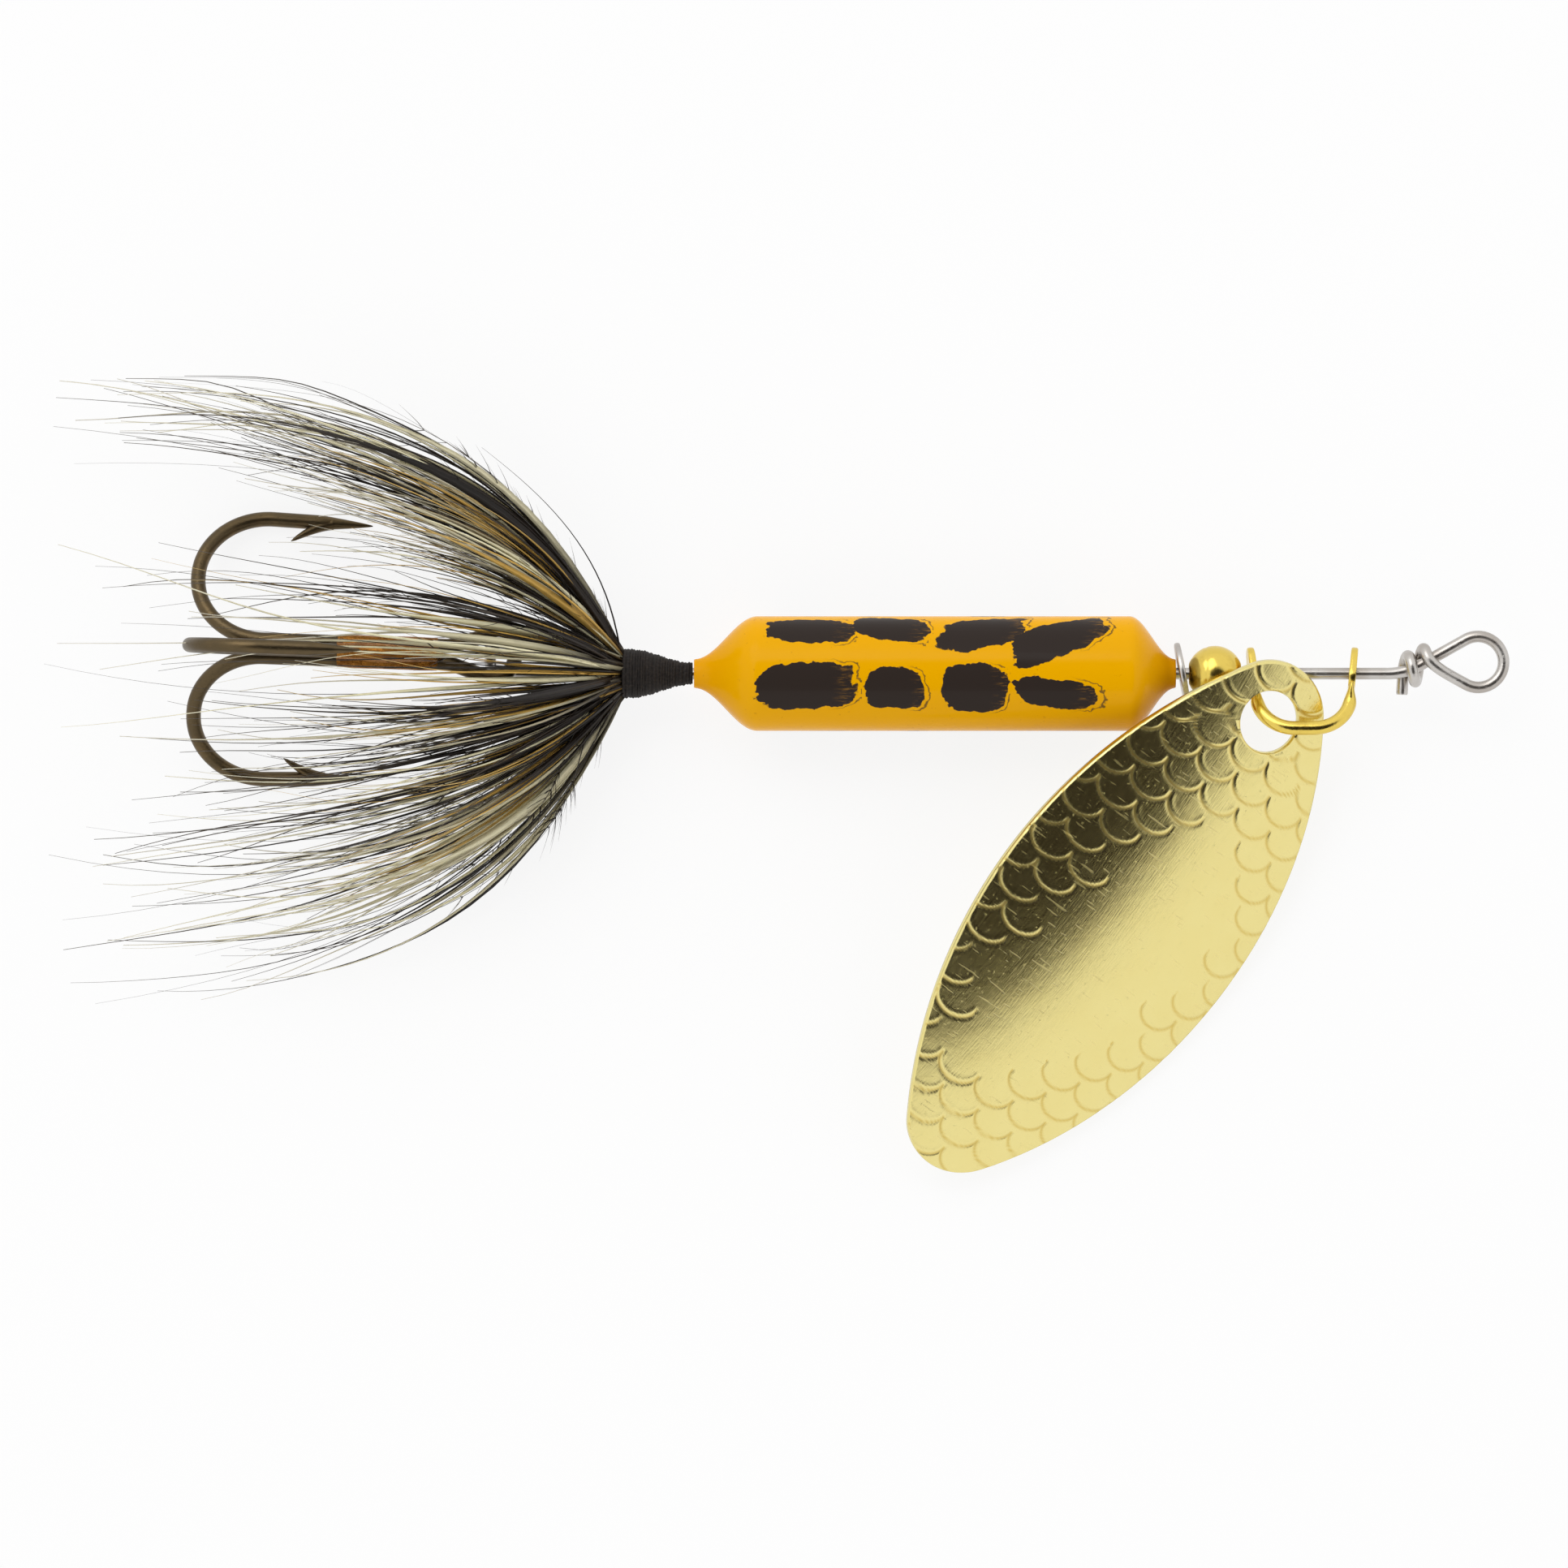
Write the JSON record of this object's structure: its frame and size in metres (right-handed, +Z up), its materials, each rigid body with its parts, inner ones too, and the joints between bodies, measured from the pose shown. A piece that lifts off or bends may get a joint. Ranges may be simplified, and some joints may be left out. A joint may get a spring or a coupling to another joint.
{
  "type": "inline spinner",
  "caption": "Inline fishing spinner: wire shaft with line-tie eye, spotted lead body, cupped blade on a clevis and a hackle-dressed treble hook.",
  "frame": {"origin": "on the shaft's axis, inside the line-tie eye", "axes": "+X forwards along the shaft towards the line-tie eye, +Z up from the surface that the spinner lies on, +Y to the left of +X"},
  "size_m": [0.0626, 0.0345, 0.0136],
  "materials": {
    "steel": "bright drawn spring wire and a plain pressed washer",
    "thread": "black tying thread, wound close and waxed",
    "body_enamel": "orange-yellow enamel with dark spots under a clear gloss",
    "bead_brass": "polished brass",
    "clevis_brass": "polished brass wire with flattened ears",
    "blade_brass": "plated brass sheet with a stamped scale pattern and fine brushed grain",
    "hook_bronze": "bronzed high-carbon steel wire",
    "braze": "amber brazing between the shanks",
    "hackle": "black, cream and grey feather hackle"
  },
  "bodies": {
    "shaft": {"shaft_wire": "steel", "thread_wrap": "thread", "hackle_tuft_1": "hackle", "hackle_tuft_2": "hackle", "hackle_tuft_3": "hackle", "hackle_tuft_4": "hackle", "hackle_tuft_5": "hackle", "hackle_tuft_6": "hackle", "hackle_tuft_7": "hackle", "hackle_tuft_8": "hackle", "hackle_tuft_9": "hackle", "hackle_tuft_10": "hackle"},
    "lead_body": {"lead_body": "body_enamel"},
    "washer": {"thrust_washer": "steel"},
    "bead": {"bead": "bead_brass"},
    "clevis": {"clevis": "clevis_brass"},
    "blade": {"blade": "blade_brass"},
    "hook": {"double_hook": "hook_bronze", "single_hook": "hook_bronze", "braze_joint": "braze"}
  },
  "joints": [
    {"name": "body_spin", "type": "hinge", "parent": "shaft", "child": "lead_body", "pos_m": [-0.023, 0, 0], "axis": [1, 0, 0], "continuous": true},
    {"name": "washer_spin", "type": "hinge", "parent": "shaft", "child": "washer", "pos_m": [-0.0124, 0, 0], "axis": [1, 0, 0], "continuous": true},
    {"name": "bead_slide", "type": "slide", "parent": "shaft", "child": "bead", "axis": [1, 0, 0], "range_m": [0, 0.0016]},
    {"name": "clevis_spin", "type": "hinge", "parent": "bead", "child": "clevis", "pos_m": [-0.0071, 0, 0], "axis": [1, 0, 0], "continuous": true},
    {"name": "blade_swing", "type": "hinge", "parent": "clevis", "child": "blade", "pos_m": [-0.007, -0.00103, 0.00061], "axis": [0, 0.509, 0.8607], "range_deg": [-4, 95]},
    {"name": "hook_swing", "type": "hinge", "parent": "shaft", "child": "hook", "pos_m": [-0.04211, 0.00074, 0.00094], "axis": [0, 0, 1], "range_deg": [-60, 60], "deforming": ["hackle_tuft_1", "hackle_tuft_2", "hackle_tuft_3", "hackle_tuft_4", "hackle_tuft_5", "hackle_tuft_6", "hackle_tuft_7", "hackle_tuft_8", "hackle_tuft_9", "hackle_tuft_10"]}
  ]
}
